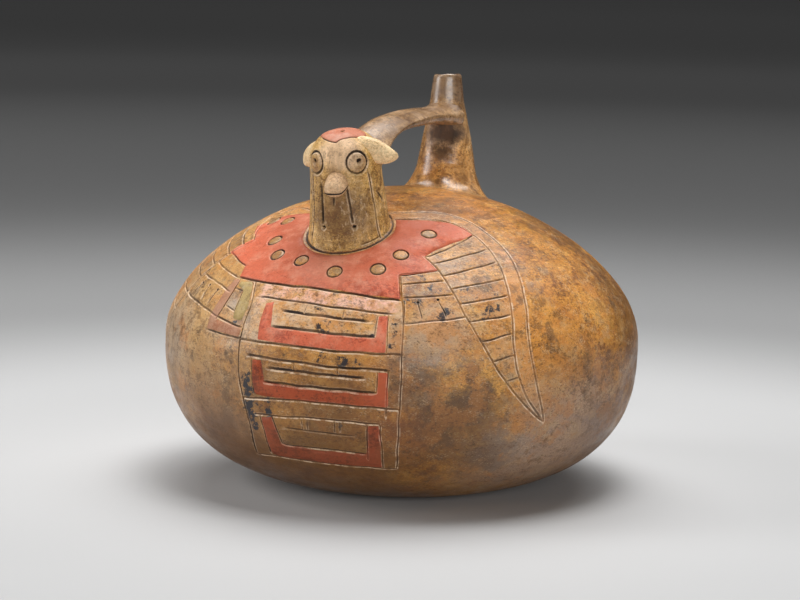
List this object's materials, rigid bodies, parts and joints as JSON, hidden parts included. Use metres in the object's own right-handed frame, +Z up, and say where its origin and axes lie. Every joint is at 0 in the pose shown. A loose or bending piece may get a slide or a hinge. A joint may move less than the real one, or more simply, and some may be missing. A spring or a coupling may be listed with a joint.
{
  "type": "bird effigy vessel",
  "caption": "Squat round ceramic bottle with a tapered spout and an arched strap that joins it to a hollow bird's head, with incised wings and painted collar and breast panels.",
  "frame": {"origin": "centre of the flat base", "axes": "+Z up along the body's axis, the bird faces -Y, its left wing is towards +X"},
  "size_m": [0.2, 0.2004, 0.1708],
  "materials": {
    "bowl_clay": "burnished low-fired clay, smoke-darkened in clouds",
    "dome_clay": "burnished low-fired ochre clay",
    "spout_clay": "burnished clay, greyer towards the lip",
    "strap_clay": "burnished clay with sooty underside",
    "head_clay": "smoothed buff clay, matte",
    "beak_clay": "smoothed pinkish clay",
    "tuft_clay": "smoothed cream clay",
    "red_paint": "matte coral red resin paint, worn",
    "crown_paint": "matte pinkish red resin paint, worn",
    "dark_red_paint": "matte deep red resin paint",
    "yellow_paint": "matte yellow resin paint, worn",
    "rose_paint": "matte rose resin paint, worn thin"
  },
  "bodies": {
    "root": {"lower_bowl": "bowl_clay", "upper_dome": "dome_clay", "spout_tube": "spout_clay", "spout_foot_coil": "dome_clay", "bridge_strap": "strap_clay", "head_shell": "head_clay", "crown_slab": "head_clay", "upper_beak": "beak_clay", "lower_beak": "beak_clay", "left_tuft": "tuft_clay", "right_tuft": "tuft_clay", "collar_paint": "red_paint", "crown_paint": "crown_paint", "upper_panel_paint": "red_paint", "middle_panel_paint": "red_paint", "lower_panel_paint": "dark_red_paint", "pendant_yellow_paint": "yellow_paint", "pendant_border_paint": "rose_paint"}
  },
  "joints": []
}
